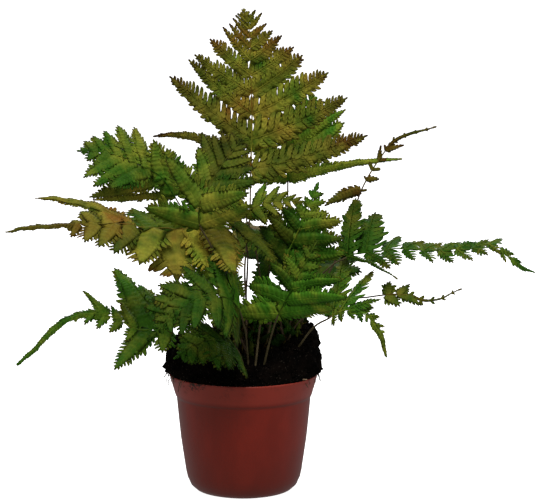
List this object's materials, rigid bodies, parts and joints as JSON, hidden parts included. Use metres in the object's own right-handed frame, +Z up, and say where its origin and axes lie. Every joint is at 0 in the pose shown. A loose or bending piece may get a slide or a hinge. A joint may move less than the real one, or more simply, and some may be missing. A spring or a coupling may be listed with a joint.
{
  "type": "potted autumn fern",
  "caption": "Autumn fern in a tapered plastic nursery pot: arching bronze and green fronds with toothed leaflets, rising from one crown in dark soil.",
  "frame": {"origin": "middle of the pot's foot, on the surface that it stands on", "axes": "+Z up the pot's axis, -Y the front of the plant, +X to the right seen from the front"},
  "size_m": [0.4062, 0.3449, 0.3882],
  "materials": {
    "pot_plastic": "terracotta-coloured moulded polypropylene, slightly glossy",
    "soil": "dark peat potting soil, crumbly and fibrous",
    "olive_leaf": "fern leaf turning from bronze to olive green",
    "bronze_leaf": "young fern leaf, coppery bronze over green",
    "green_leaf": "grown fern leaf, slightly glossy mid green",
    "dark_leaf": "old fern leaf, dark green"
  },
  "bodies": {
    "root": {"pot": "pot_plastic", "soil": "soil", "frond_tall": "olive_leaf", "frond_left_long": "bronze_leaf", "frond_left_high": "green_leaf", "frond_centre": "green_leaf", "frond_right_long": "green_leaf", "frond_low_left": "green_leaf", "frond_front_left": "green_leaf", "frond_front_right": "green_leaf", "frond_right_low": "green_leaf", "frond_right_mid": "green_leaf", "frond_bronze_right": "bronze_leaf", "frond_right_thin": "dark_leaf", "frond_right_strand": "dark_leaf", "frond_back": "olive_leaf", "frond_soil_left": "dark_leaf", "frond_mid_dark": "dark_leaf", "frond_mid_left": "dark_leaf", "frond_back_left": "green_leaf", "frond_back_right": "green_leaf", "frond_back_mid": "bronze_leaf"}
  },
  "joints": []
}
